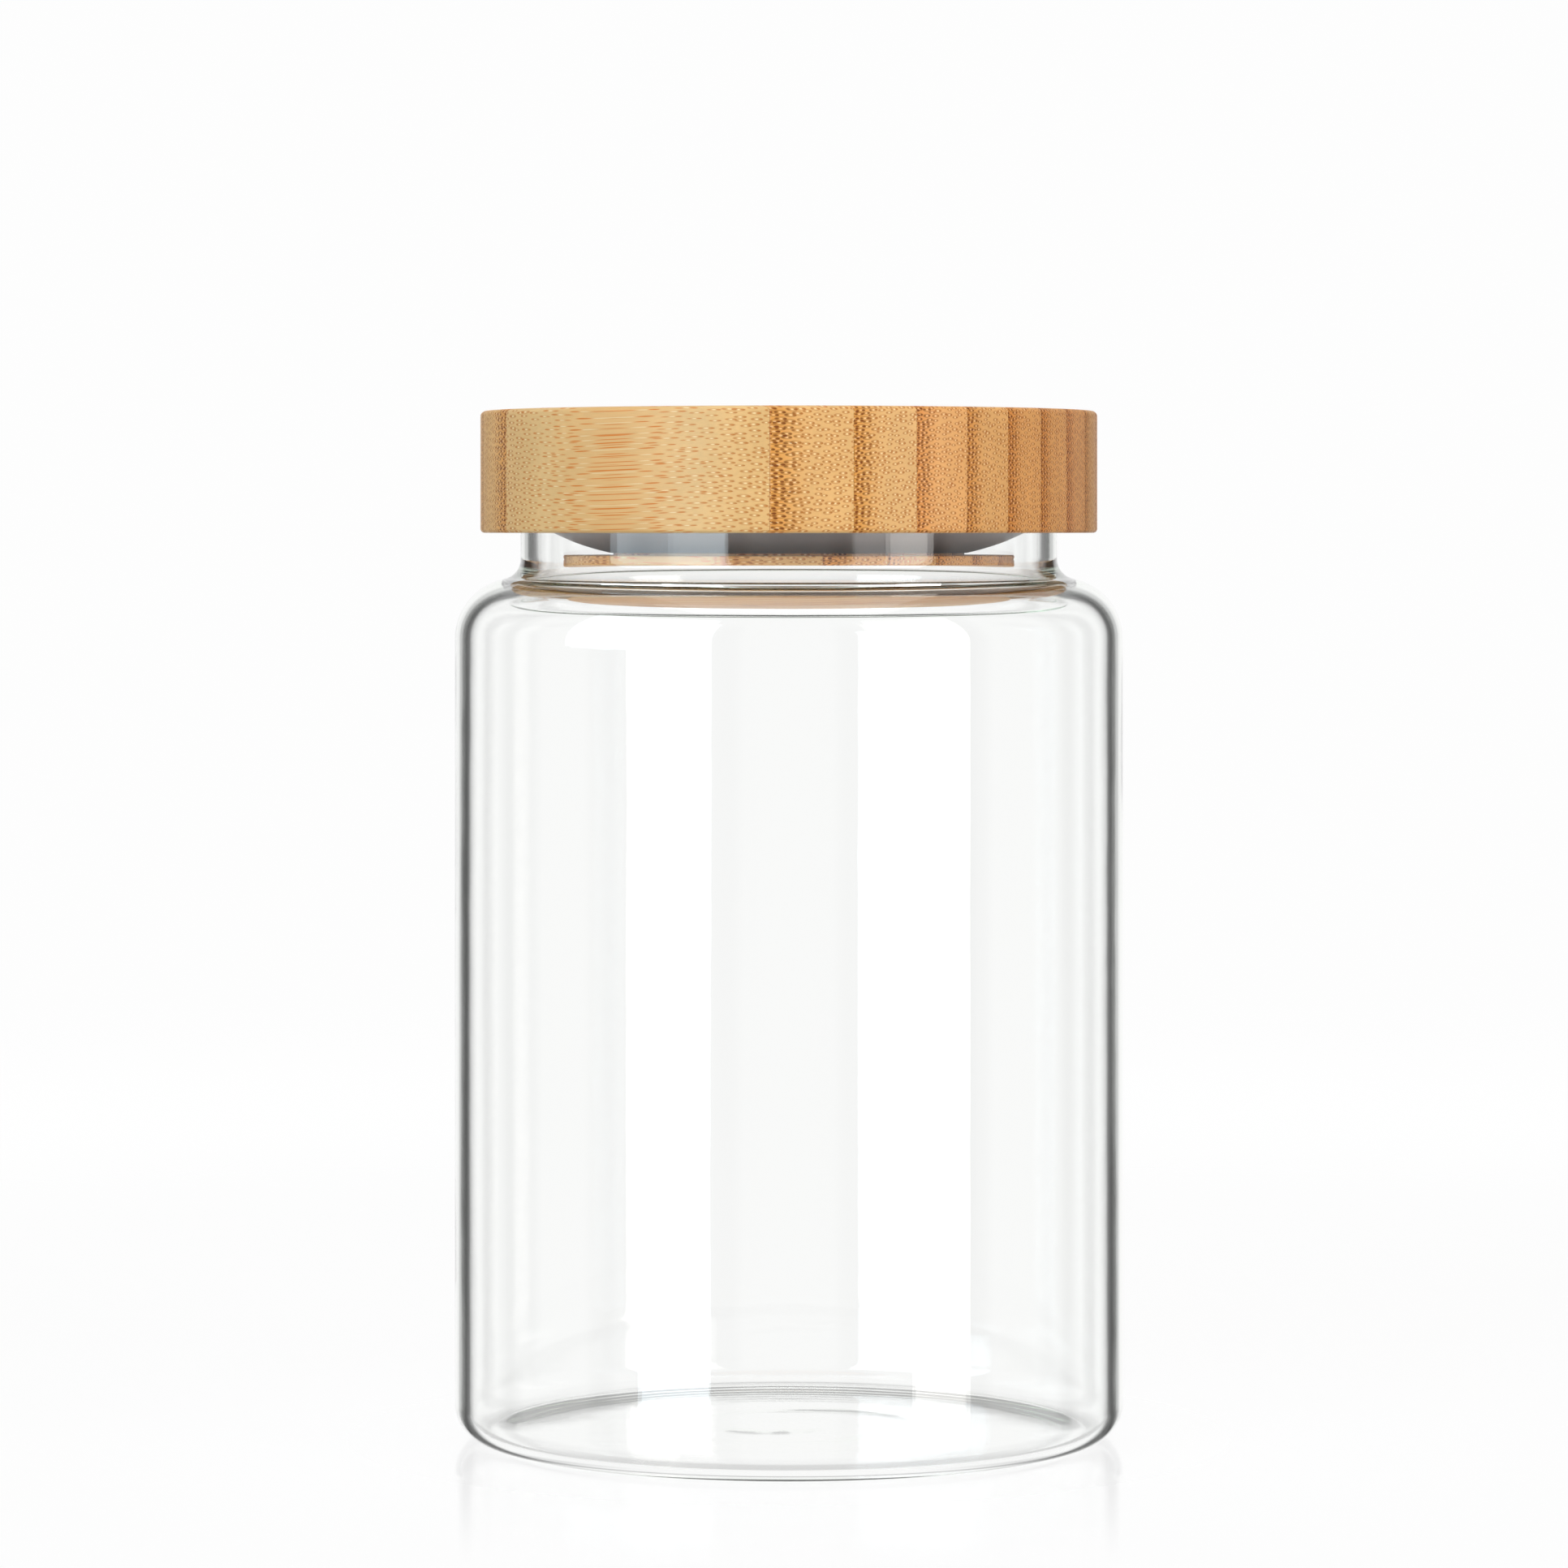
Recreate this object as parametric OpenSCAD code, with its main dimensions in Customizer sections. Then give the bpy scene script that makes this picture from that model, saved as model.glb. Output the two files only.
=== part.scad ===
// Lidded glass canister: a blown glass jar with a turned, edge-glued bamboo lid.
// The lid plugs into the neck and a moulded silicone ring makes the seal.
// Origin: centre of the ring that the jar stands on. +Z runs up the jar's axis, -Y is the front.

/* [Jar] */
// Outside diameter of the jar's body
body_d = 100; // [96:1:112]
// Thickness of the glass in the body and shoulder
wall_t = 2.2; // [1.6:0.1:2.6]
// Thickness of the glass in the base, above the ring it stands on
base_t = 1.6; // [1.5:0.1:4]
// Height at which the straight wall turns into the shoulder
shoulder_z = 119.5; // [80:0.5:122]
// Outside radius of the shoulder
shoulder_r = 9; // [8:0.5:10]
// Outside radius of the rounded heel
heel_r = 5; // [3.5:0.5:7]
// Rise of the push-up under the middle of the base
push_up = 0.4; // [0.3:0.1:0.5]

/* [Neck] */
// Outside diameter of the neck
neck_d = 80.4; // [79.8:0.1:81.4]
// Thickness of the glass in the neck and at the rim
neck_t = 2.6; // [2.2:0.1:2.6]
// Outside radius of the hollow where the neck meets the shoulder
neck_fillet_r = 3; // [2:0.5:4]

/* [Lid] */
// Diameter of the lid
lid_d = 92.4; // [88:0.2:98]
// Height of the lid's visible disc
lid_h = 18.2; // [14:0.2:26]
// Height of the lid's lower edge above the surface the jar stands on
lid_z = 135.2; // [134.8:0.1:145]
// Radius worked onto the lid's top edge
top_edge_r = 0.8; // [0.5:0.1:3]
// Radius worked onto the lid's lower edge
low_edge_r = 0.6; // [0.3:0.1:1.5]
// Depth of the channel in the lid's underside that takes the rim
channel_h = 6; // [5.5:0.1:8]
// Room between the neck and the channel's outer wall
channel_gap = 0.8; // [0.5:0.1:1.5]

/* [Bamboo strips] */
// Thickness of one bamboo strip
strip_t = 7.36; // [5:0.02:12]
// Thickness of the first strip, at the front left of the lid
first_strip_t = 6.25; // [3:0.05:7]
// Turn of the strips about the lid's axis, away from square to the front
strip_turn = 33.6; // [0:0.1:90]

/* [Plug and seal] */
// Diameter of the plug's bottom flange, which keeps the seal on
flange_d = 67.6; // [66:0.2:70]
// Thickness of that flange
flange_t = 1.6; // [1.2:0.1:3]
// Distance from the lid's lower edge down to the flange
seal_drop = 3.3; // [3.3:0.1:3.8]
// Diameter of the plug where the seal sits
groove_d = 52.6; // [52:0.2:54]
// Radius of the gentle curve of the seal's underside
under_r = 36; // [34:0.5:40]
// Radial clearance between the seal's lip and the neck's bore
lip_gap = 0.1; // [0.05:0.01:0.1]

/* [Hidden] */
$fn = 180;
body_r = body_d / 2;
neck_r = neck_d / 2;
bore_r = neck_r - neck_t;
lid_r = lid_d / 2;
flange_r = flange_d / 2;
groove_r = groove_d / 2;
channel_r = neck_r + channel_gap;

// Clearance wherever two separate pieces face each other without pressing
clearance = 0.3;
// Overlap that makes neighbouring shapes merge cleanly
merge = 0.5;
// The neck's hollow bites this far into the shoulder's curve, so that the two arcs cross cleanly
bite = 0.004;

rim_z = lid_z + channel_h - clearance;
rim_r = neck_t / 2;
// The lip meets the bore just under the rounded rim
lip_below_round = 0.4;
lip_z = rim_z - rim_r - lip_below_round;
lip_r = bore_r - lip_gap;
lip_round_r = 1.3;
seal_in_r = groove_r + clearance;
seal_low_z = lid_z - seal_drop + clearance;
// The underside's curve turns about a ring this far from the lid's axis
under_x = 19.3;
under_z = seal_low_z + sqrt(pow(under_r, 2) - pow(seal_in_r - under_x, 2));
plug_z = lid_z - seal_drop - flange_t;
// The plug's core is at least this thick in any strip that carries a part of the flange
least_core = 2;

// Glass gathers in the heel, so its inside curve is gentler than an even wall's by this much
heel_gather = 0.4;
inner_heel_r = heel_r - wall_t + heel_gather;
// It thins where the neck is drawn out of the shoulder
neck_draw = 0.4;
inner_fillet_r = neck_fillet_r + neck_t - neck_draw;
// Width of the flat ring that the jar stands on, and the radius of its inner edge
foot_w = 2;
foot_r = body_r - heel_r - foot_w;
push_up_r = (foot_r * foot_r + push_up * push_up) / (2 * push_up);
// The push-up is a small cap of a very large circle, so that circle needs finer steps
push_up_fn = 1440;

strip_count = ceil((lid_d - first_strip_t) / strip_t) + 1;
function strip_name(i) = str("bamboo_strip_", i < 10 ? "0" : "", i);
// Distance of a glue line from the lid's axis, counted back from the lid's front left edge
function glue_line(i) =
    i < 1 ? lid_r + merge :
    i >= strip_count ? -lid_r - merge :
    lid_r - first_strip_t - (i - 1) * strip_t;
// The same below the lid's disc: a glue line that would miss the plug's core, or shave only
// a thin piece off it, is pushed clear, so the next strip in carries the flange out there
function plug_line(i) =
    abs(glue_line(i)) < groove_r - least_core ? glue_line(i) :
    glue_line(i) > 0 ? lid_r + merge : -lid_r - merge;
function straight_cut(i) =
    plug_line(i - 1) == glue_line(i - 1) && plug_line(i) == glue_line(i);
// Level in the open seal groove where a strip's disc part gives way to its plug part
split_z = lid_z - seal_drop / 2;
// Honey tone that wanders a little from strip to strip
honey = [0.80, 0.62, 0.40];
honey_spread = [0.045, 0.035, 0.03];
tone_step = 137;
function strip_tone(i) = honey + honey_spread * sin(i * tone_step);

// Half outline of a solid bottle, standing right of the axis
module bottle_half(body, neck, shoulder, heel, fillet, z_low, z_high) {
    shoulder_x = body - shoulder;
    fillet_x = neck + fillet;
    reach = shoulder + fillet - bite;
    fillet_z = shoulder_z + sqrt(pow(reach, 2) - pow(fillet_x - shoulder_x, 2));
    translate([0, z_low]) square([body - heel, heel + merge]);
    translate([body - heel, z_low + heel]) circle(heel);
    translate([0, z_low + heel]) square([body, shoulder_z - z_low - heel]);
    translate([shoulder_x, shoulder_z]) circle(shoulder);
    translate([0, shoulder_z - merge]) square([shoulder_x, shoulder + merge]);
    difference() {
        polygon([[0, shoulder_z], [shoulder_x, shoulder_z], [fillet_x, fillet_z], [0, fillet_z]]);
        translate([fillet_x, fillet_z]) circle(fillet);
    }
    translate([0, shoulder_z]) square([neck, z_high - shoulder_z]);
}

// The blown jar: body, shoulder and neck in one piece, open at the top
module glass_jar() {
    color([0.84, 0.92, 0.91, 0.45])
    rotate_extrude() {
        difference() {
            bottle_half(body_r, neck_r, shoulder_r, heel_r, neck_fillet_r, 0, rim_z - rim_r);
            bottle_half(body_r - wall_t, bore_r, shoulder_r - wall_t, inner_heel_r, inner_fillet_r,
                        base_t, rim_z + merge);
            translate([0, push_up - push_up_r]) circle(push_up_r, $fn = push_up_fn);
        }
        translate([bore_r + rim_r, rim_z - rim_r]) circle(rim_r);
    }
}

// Moulded silicone ring: a dished underside that sweeps out and up to the lip that meets the bore
module seal_ring() {
    color([0.80, 0.84, 0.86, 0.9])
    rotate_extrude() {
        intersection() {
            translate([under_x, under_z]) circle(under_r);
            translate([seal_in_r, seal_low_z - merge])
                square([lip_r - seal_in_r, lip_z - seal_low_z + merge]);
        }
        translate([lip_r - lip_round_r, lip_z]) circle(lip_round_r);
        translate([seal_in_r, lip_z - merge])
            square([lip_r - lip_round_r - seal_in_r, lip_round_r + merge]);
    }
}

// Half outline of the whole turned lid: disc, rim channel, seal groove and plug flange
module lid_half() {
    difference() {
        union() {
            translate([0, lid_z]) square([lid_r - low_edge_r, low_edge_r + merge]);
            translate([lid_r - low_edge_r, lid_z + low_edge_r]) circle(low_edge_r);
            translate([0, lid_z + low_edge_r]) square([lid_r, lid_h - low_edge_r - top_edge_r]);
            translate([lid_r - top_edge_r, lid_z + lid_h - top_edge_r]) circle(top_edge_r);
            translate([0, lid_z + lid_h - top_edge_r - merge])
                square([lid_r - top_edge_r, top_edge_r + merge]);
        }
        translate([groove_r, lid_z - merge]) square([channel_r - groove_r, channel_h + merge]);
    }
    translate([0, plug_z]) square([flange_r, flange_t]);
    translate([0, plug_z]) square([groove_r, lid_z - plug_z + merge]);
}

// The space between two glue lines, over a range of heights
module slab(outer, inner, low_z, high_z) {
    if (outer > inner)
        translate([-lid_d, -outer, low_z])
            cube([2 * lid_d, outer - inner, high_z - low_z]);
}

// One strip: a straight slice of the turned lid, with its fibres running the strip's length
module bamboo_strip(i) {
    low_z = plug_z - merge;
    high_z = lid_z + lid_h + merge;
    color(strip_tone(i))
    intersection() {
        rotate_extrude() lid_half();
        rotate([0, 0, -strip_turn]) {
            slab(glue_line(i - 1), glue_line(i), straight_cut(i) ? low_z : split_z, high_z);
            if (!straight_cut(i))
                slab(plug_line(i - 1), plug_line(i), low_z, split_z + merge);
        }
    }
}

glass_jar();
seal_ring();
for (i = [1 : strip_count])
    bamboo_strip(i);
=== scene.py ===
"""Visual model of a lidded glass canister: blown jar, silicone seal and laminated bamboo lid."""
from __future__ import annotations

import logging
import math
from collections.abc import Callable, Sequence
from dataclasses import dataclass, field
from enum import Enum

import bmesh
import bpy
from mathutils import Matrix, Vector


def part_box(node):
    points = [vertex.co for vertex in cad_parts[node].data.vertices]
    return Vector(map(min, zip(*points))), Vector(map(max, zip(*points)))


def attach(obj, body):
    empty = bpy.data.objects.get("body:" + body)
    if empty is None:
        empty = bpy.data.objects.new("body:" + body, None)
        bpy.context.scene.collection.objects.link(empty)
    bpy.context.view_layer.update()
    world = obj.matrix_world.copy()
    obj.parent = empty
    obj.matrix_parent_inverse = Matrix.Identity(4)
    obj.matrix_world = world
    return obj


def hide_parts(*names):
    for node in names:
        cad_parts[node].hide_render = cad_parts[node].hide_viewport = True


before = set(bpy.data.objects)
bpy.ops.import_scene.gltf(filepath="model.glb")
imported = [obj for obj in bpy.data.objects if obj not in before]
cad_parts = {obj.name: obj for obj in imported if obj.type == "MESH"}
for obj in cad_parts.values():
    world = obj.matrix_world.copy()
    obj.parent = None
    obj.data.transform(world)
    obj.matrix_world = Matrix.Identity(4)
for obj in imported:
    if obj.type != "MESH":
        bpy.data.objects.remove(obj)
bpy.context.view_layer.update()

log = logging.getLogger("canister")

MM = 0.001
METRES_TO_MM = (1 / MM, 1 / MM, 1 / MM)
WHITE = (1.0, 1.0, 1.0, 1.0)
SLAT_WIDTH = 7.36
NO_KNOT = 500.0
EYE_OVER_LID_EDGE = 0.0008
GRAIN_TURN = math.radians(33.6)
ALONG_GRAIN = (math.cos(GRAIN_TURN), -math.sin(GRAIN_TURN), 0.0)
ACROSS_GRAIN = (-math.sin(GRAIN_TURN), -math.cos(GRAIN_TURN), 0.0)

Point = tuple[float, float]
Colour = tuple[float, float, float, float]
Value = float | Sequence[float] | bpy.types.NodeSocket
Settle = Callable[[float, float, float], Point]


class Body(Enum):
    """The canister's moving bodies."""

    JAR = "jar"
    SEAL = "seal"
    LID = "lid"


class Slot(Enum):
    """Finishes that a scene may repaint."""

    GLASS = "clear_glass"
    SILICONE = "silicone"
    BAMBOO = "bamboo"


def paint(red: float, green: float, blue: float) -> Colour:
    """Turns a colour as a screen shows it, from 0 to 255, into the shader's own scale.

    Args:
        red: Red part.
        green: Green part.
        blue: Blue part.

    Returns:
        The same colour on the scale that shaders work in, with full cover.
    """
    parts = [part / 255 for part in (red, green, blue)]
    parts = [p / 12.92 if p <= 0.04045 else ((p + 0.055) / 1.055) ** 2.4 for p in parts]
    return (parts[0], parts[1], parts[2], 1.0)


# ---------------------------------------------------------------- outlines and turned meshes


def arc(centre: Point, radius: float, start: float, end: float, steps: int) -> list[Point]:
    """Lays points along a round stretch of an outline.

    Args:
        centre: Centre of the curve, as distance from the axis and height.
        radius: Radius of the curve.
        start: Angle of the first point in degrees, counted up from straight outwards.
        end: Angle of the last point in degrees.
        steps: Number of equal steps between the two.

    Returns:
        The points from start to end, both included.
    """
    angles = [math.radians(start + (end - start) * k / steps) for k in range(steps + 1)]
    return [(centre[0] + radius * math.cos(a), centre[1] + radius * math.sin(a)) for a in angles]


def split_long(points: list[Point], longest: float) -> list[Point]:
    """Adds points to an outline so that no stretch is longer than a limit.

    Args:
        points: The outline's points in order.
        longest: Longest stretch that stays in one piece.

    Returns:
        The same outline with the extra points and without doubled ones.
    """
    result = [points[0]]
    for (r0, z0), (r1, z1) in zip(points, points[1:]):
        length = math.hypot(r1 - r0, z1 - z0)
        if length < 1e-4:
            continue
        count = max(1, math.ceil(length / longest))
        result += [(r0 + (r1 - r0) * k / count, z0 + (z1 - z0) * k / count)
                   for k in range(1, count + 1)]
    return result


def turned(outline: list[Point], sides: int, ring: bool = False,
           settle: Settle | None = None) -> bmesh.types.BMesh:
    """Turns an outline in millimetres about the Z axis, as on a lathe.

    Args:
        outline: Points as distance from the axis and height. A point on the axis is a pole.
        sides: Number of steps round the axis.
        ring: True where the last point joins the first.
        settle: Moves a point as the making of the real piece does. It is given the point's
            distance from the axis, its height and its angle round the axis.

    Returns:
        A closed mesh in metres with its faces looking outwards.
    """
    mesh = bmesh.new()
    rings = []
    for r, z in outline:
        loop = []
        for k in range(1 if r < 1e-6 else sides):
            angle = 2 * math.pi * k / sides
            rr, zz = settle(r, z, angle) if settle else (r, z)
            loop.append(mesh.verts.new((rr * math.cos(angle) * MM, rr * math.sin(angle) * MM,
                                        zz * MM)))
        rings.append(loop)
    pairs = list(zip(rings, rings[1:]))
    if ring:
        pairs.append((rings[-1], rings[0]))
    for low, high in pairs:
        for k in range(sides):
            nxt = (k + 1) % sides
            corners = [low[k % len(low)], low[nxt % len(low)],
                       high[nxt % len(high)], high[k % len(high)]]
            mesh.faces.new(list(dict.fromkeys(corners)))
    bmesh.ops.recalc_face_normals(mesh, faces=mesh.faces)
    return mesh


def make_piece(mesh: bmesh.types.BMesh, name: str, crease: float) -> bpy.types.Object:
    """Turns an edited mesh into a smooth-shaded piece in the scene.

    Args:
        mesh: The finished mesh, which is used up.
        name: Name of the piece.
        crease: Edges that bend by more than this many degrees stay crisp.

    Returns:
        The new object.
    """
    data = bpy.data.meshes.new(name)
    mesh.to_mesh(data)
    mesh.free()
    data.shade_smooth()
    data.set_sharp_from_angle(angle=math.radians(crease))
    piece = bpy.data.objects.new(name, data)
    bpy.context.scene.collection.objects.link(piece)
    return piece


# ---------------------------------------------------------------- shader building


class Wires:
    """Short calls that place shader nodes in one tree and join them up."""

    def __init__(self, tree: bpy.types.NodeTree) -> None:
        """Starts on a tree."""
        self.tree = tree

    def node(self, kind: str, **settings: object) -> bpy.types.Node:
        """Places a node.

        Args:
            kind: Blender's name for the node, without the leading ShaderNode.
            **settings: Properties of the node and their values.

        Returns:
            The new node.
        """
        made = self.tree.nodes.new("ShaderNode" + kind)
        for name, value in settings.items():
            setattr(made, name, value)
        return made

    def plug(self, socket: bpy.types.NodeSocket, value: Value) -> None:
        """Joins a value to an input, or sets it there when it is a plain number or colour.

        Args:
            socket: The input.
            value: Another node's output, or the number, vector or colour itself.
        """
        if isinstance(value, bpy.types.NodeSocket):
            self.tree.links.new(value, socket)
        else:
            socket.default_value = value

    def run(self, made: bpy.types.Node, values: Sequence[Value]) -> bpy.types.NodeSocket:
        """Gives a node its inputs in order.

        Args:
            made: The node.
            values: One value for each input in use.

        Returns:
            The node's first output in use.
        """
        for socket, value in zip([s for s in made.inputs if s.enabled], values):
            self.plug(socket, value)
        return next(s for s in made.outputs if s.enabled)

    def sum(self, operation: str, *values: Value) -> bpy.types.NodeSocket:
        """Works out one sum on numbers, such as MULTIPLY or POWER."""
        return self.run(self.node("Math", operation=operation), values)

    def vector(self, operation: str, *values: Value) -> bpy.types.NodeSocket:
        """Works out one sum on vectors, such as MULTIPLY or LENGTH."""
        return self.run(self.node("VectorMath", operation=operation), values)

    def join(self, x: Value, y: Value, z: Value = 0.0) -> bpy.types.NodeSocket:
        """Joins three numbers into a vector."""
        return self.run(self.node("CombineXYZ"), (x, y, z))

    def parts(self, vector: Value) -> list[bpy.types.NodeSocket]:
        """Splits a vector or colour.

        Args:
            vector: The vector or colour.

        Returns:
            Its three numbers.
        """
        made = self.node("SeparateXYZ")
        self.plug(made.inputs[0], vector)
        return list(made.outputs)

    def ease(self, value: Value, low: float, high: float) -> bpy.types.NodeSocket:
        """Rises smoothly from 0 at low to 1 at high, or falls where low is the greater.

        Args:
            value: The number to follow.
            low: Its value where the result is 0.
            high: Its value where the result is 1.

        Returns:
            The eased number.
        """
        made = self.node("MapRange", interpolation_type="SMOOTHSTEP")
        ends = (low, high, 0.0, 1.0) if low < high else (high, low, 1.0, 0.0)
        return self.run(made, (value, *ends))

    def between(self, share: Value, first: float, last: float) -> bpy.types.NodeSocket:
        """Runs evenly from the first number, where share is 0, to the last, where it is 1."""
        return self.sum("MULTIPLY_ADD", share, last - first, first)

    def blend(self, share: Value, low: Value, high: Value) -> bpy.types.NodeSocket:
        """Mixes two colours, with share as the part of the second."""
        return self.run(self.node("Mix", data_type="RGBA"), (share, low, high))

    def noise(self, vector: Value, scale: float, detail: float = 2.0) -> bpy.types.NodeSocket:
        """Makes soft random variation between 0 and 1, about 0.5.

        Args:
            vector: The place.
            scale: Number of swells to a unit of length.
            detail: Number of finer layers laid over the swells.

        Returns:
            The variation.
        """
        made = self.node("TexNoise")
        self.plug(made.inputs["Vector"], vector)
        made.inputs["Scale"].default_value = scale
        made.inputs["Detail"].default_value = detail
        return made.outputs[0]

    def group(self, tree: bpy.types.NodeTree, **values: Value) -> bpy.types.Node:
        """Places a shared group.

        Args:
            tree: The group.
            **values: A value for each input, by its name with spaces as underscores.

        Returns:
            The placed node.
        """
        made = self.node("Group", node_tree=tree)
        for name, value in values.items():
            self.plug(made.inputs[name.replace("_", " ")], value)
        return made


class SharedGroup:
    """A shader node group that several materials share, built once."""

    def __init__(self, name: str, inputs: dict[str, float | Colour | None],
                 outputs: dict[str, str]) -> None:
        """Makes the group's tree and its sockets.

        Args:
            name: Name of the group.
            inputs: Name of each input and its usual value, or None for a vector.
            outputs: Name of each output and its kind, Float or Color.
        """
        self.tree = bpy.data.node_groups.new(name, "ShaderNodeTree")
        self.wires = Wires(self.tree)
        for key, value in inputs.items():
            kind = "Vector" if value is None else "Float" if isinstance(value, float) else "Color"
            socket = self.tree.interface.new_socket(
                key, in_out="INPUT", socket_type="NodeSocket" + kind)
            if value is not None:
                socket.default_value = value
        for key, kind in outputs.items():
            self.tree.interface.new_socket(
                key, in_out="OUTPUT", socket_type="NodeSocket" + kind)
        self.given = self.tree.nodes.new("NodeGroupInput").outputs
        self.result = self.tree.nodes.new("NodeGroupOutput").inputs


def blank_material(name: str) -> tuple[bpy.types.Material, Wires, bpy.types.Node]:
    """Makes a material with one Principled shader.

    Args:
        name: Name of the material.

    Returns:
        The material, the wires of its tree, and the shader.
    """
    material = bpy.data.materials.new(name)
    material.use_nodes = True
    wires = Wires(material.node_tree)
    shader = material.node_tree.nodes["Principled BSDF"]
    return material, wires, shader


# ---------------------------------------------------------------- shared effects


@dataclass(frozen=True)
class BundlePattern:
    """How fibre bundles stand in a slat and how strongly they show. Lengths are in millimetres.

    A pair in "by_cut" holds the value where a surface runs along the grain and where it cuts
    across. A pair in "by_depth" holds the value at the slat's inner side and at its rind.
    """

    bend_along: float = 0.022
    bend_across: float = 0.05
    bend_reach: float = 0.45
    bend_rise: float = 1.2
    columns: float = 7.9
    rind_columns: float = 12.85
    crowding: float = 4.5
    dense_ends: Point = (0.46, 0.02)
    cut_ends: Point = (0.08, 0.55)
    slim_by_cut: Point = (1.55, 1.0)
    patch_tone: Point = (0.89, 1.11)
    fine_tone: Point = (-0.08, 0.08)
    rind_share: float = 0.85
    pale_by_cut: Point = (0.26, 0.0)
    dark_by: float = 0.8
    ring_by_cut: Point = (0.06, 0.48)
    core_by_depth: Point = (0.80, 0.40)
    vessel_by_depth: Point = (0.72, 0.92)
    joint_width: Point = (0.10, 0.02)
    joint_share: float = 0.34
    knot_wave: Point = (0.4, 0.5)
    knot_rough: Point = (-0.4, 0.4)
    knot_band: Point = (3.2, 1.0)
    knot_band_share: float = 0.45
    knot_line: Point = (0.75, 0.15)
    knot_line_share: float = 0.62
    roughness: Point = (0.36, 0.52)
    pit_by_cut: Point = (-0.10, -0.95)
    fine_relief: float = 0.18
    joint_relief: float = 0.8
    row_height: float = 0.80
    push_across: float = 0.3
    push_up: float = 0.22
    least_size: float = 0.74
    greatest_size: float = 1.08
    rind_growth: float = 0.20

    def build(self) -> bpy.types.NodeTree:
        """Builds the group for bamboo: rows of fibre bundles that run along the grain.

        A slat's rind side, at its outer edge, holds dark bundles close together, and they grow
        paler and further apart towards the inner side.

        Returns:
            The group, which puts out colour, roughness and height.
        """
        group = SharedGroup(
            "Fibre bundles",
            {"Place": None, "Facing": None, "Outer Edge": 0.0, "Width": SLAT_WIDTH,
             "Seed": 0.0, "Knot At": NO_KNOT, "Flesh": paint(236, 190, 130),
             "Rind Flesh": paint(222, 160, 92), "Side Fibre": paint(212, 146, 66),
             "Pale Vessel": paint(176, 112, 52), "Dark Vessel": paint(104, 52, 16),
             "Core": paint(250, 222, 170)},
            {"Colour": "Color", "Roughness": "Float", "Height": "Float"})
        w, given = group.wires, group.given
        place = w.vector("MULTIPLY", given["Place"], METRES_TO_MM)
        along = w.vector("DOT_PRODUCT", place, ALONG_GRAIN)
        across = w.vector("DOT_PRODUCT", place, ACROSS_GRAIN)
        height = w.parts(place)[2]
        seed = given["Seed"]
        # The stem isn't quite straight, so its bundles wander a little as they run.
        drift = w.join(w.sum("MULTIPLY", along, self.bend_along),
                       w.sum("MULTIPLY", across, self.bend_across),
                       w.sum("MULTIPLY_ADD", height, self.bend_across, seed))
        wander = w.node("TexNoise")
        w.plug(wander.inputs["Vector"], drift)
        wander.inputs["Scale"].default_value = 1.0
        wander.inputs["Detail"].default_value = 1.0
        shift_u, shift_z, _ = w.parts(wander.outputs["Color"])
        wavy = w.sum("ADD", across, w.between(shift_u, -self.bend_reach, self.bend_reach))
        level = w.sum("ADD", height, w.between(shift_z, -self.bend_rise, self.bend_rise))
        inward = w.sum("SUBTRACT", given["Outer Edge"], across)
        depth = w.sum("DIVIDE", inward, given["Width"])
        wavy_depth = w.sum("DIVIDE", w.sum("SUBTRACT", given["Outer Edge"], wavy),
                           given["Width"])
        fade = w.sum("EXPONENT", w.sum("MULTIPLY", wavy_depth, -self.crowding))
        crowded = (self.rind_columns - self.columns) / self.crowding
        column = w.sum("ADD", w.sum("MULTIPLY", wavy_depth, self.columns),
                       w.between(fade, crowded, 0.0))
        spacing = w.sum("DIVIDE", SLAT_WIDTH, w.between(fade, self.columns, self.rind_columns))
        dense = w.ease(depth, *self.dense_ends)
        # Cut across, a bundle shows its dark open ends. Cut along, it shows as a golden streak.
        facing = w.vector("DOT_PRODUCT", given["Facing"], ALONG_GRAIN)
        end_on = w.ease(w.sum("ABSOLUTE", facing), *self.cut_ends)
        slim = w.between(end_on, *self.slim_by_cut)
        even = self.rows(w, column, level, spacing, dense, seed, slim, 0.0)
        odd = self.rows(w, column, level, spacing, dense, seed, slim, 1.0)
        vessel, core, ring = (w.sum("MAXIMUM", a, b) for a, b in zip(even, odd))
        patch = w.noise(w.join(w.sum("MULTIPLY", along, 0.05), across,
                               w.sum("MULTIPLY_ADD", height, 0.25, seed)), 0.45, 3.0)
        fine = w.noise(w.join(w.sum("MULTIPLY", along, 0.12), w.sum("MULTIPLY", across, 3.0),
                              w.sum("MULTIPLY", height, 3.0)), 1.4, 3.0)
        fine_tone = w.between(fine, *self.fine_tone)
        grain = w.sum("ADD", w.between(patch, *self.patch_tone), fine_tone)
        flesh = w.blend(w.sum("MULTIPLY", dense, self.rind_share), given["Flesh"],
                        given["Rind Flesh"])
        flesh = w.blend(w.between(end_on, *self.pale_by_cut), flesh, given["Core"])
        flesh = w.vector("MULTIPLY", flesh, w.join(grain, grain, grain))
        spot = w.blend(w.ease(dense, 0.0, self.dark_by), given["Pale Vessel"],
                       given["Dark Vessel"])
        spot = w.blend(end_on, given["Side Fibre"], spot)
        ring_share = w.sum("MULTIPLY", ring, w.between(end_on, *self.ring_by_cut))
        colour = w.blend(ring_share, flesh, spot)
        core_share = w.sum("MULTIPLY", core, w.between(dense, *self.core_by_depth))
        colour = w.blend(core_share, colour, given["Core"])
        vessel_share = w.sum("MULTIPLY", vessel, w.between(dense, *self.vessel_by_depth))
        colour = w.blend(vessel_share, colour, spot)
        joint = w.sum("MULTIPLY", w.ease(inward, *self.joint_width), self.joint_share)
        colour = w.blend(joint, colour, given["Dark Vessel"])
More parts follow.
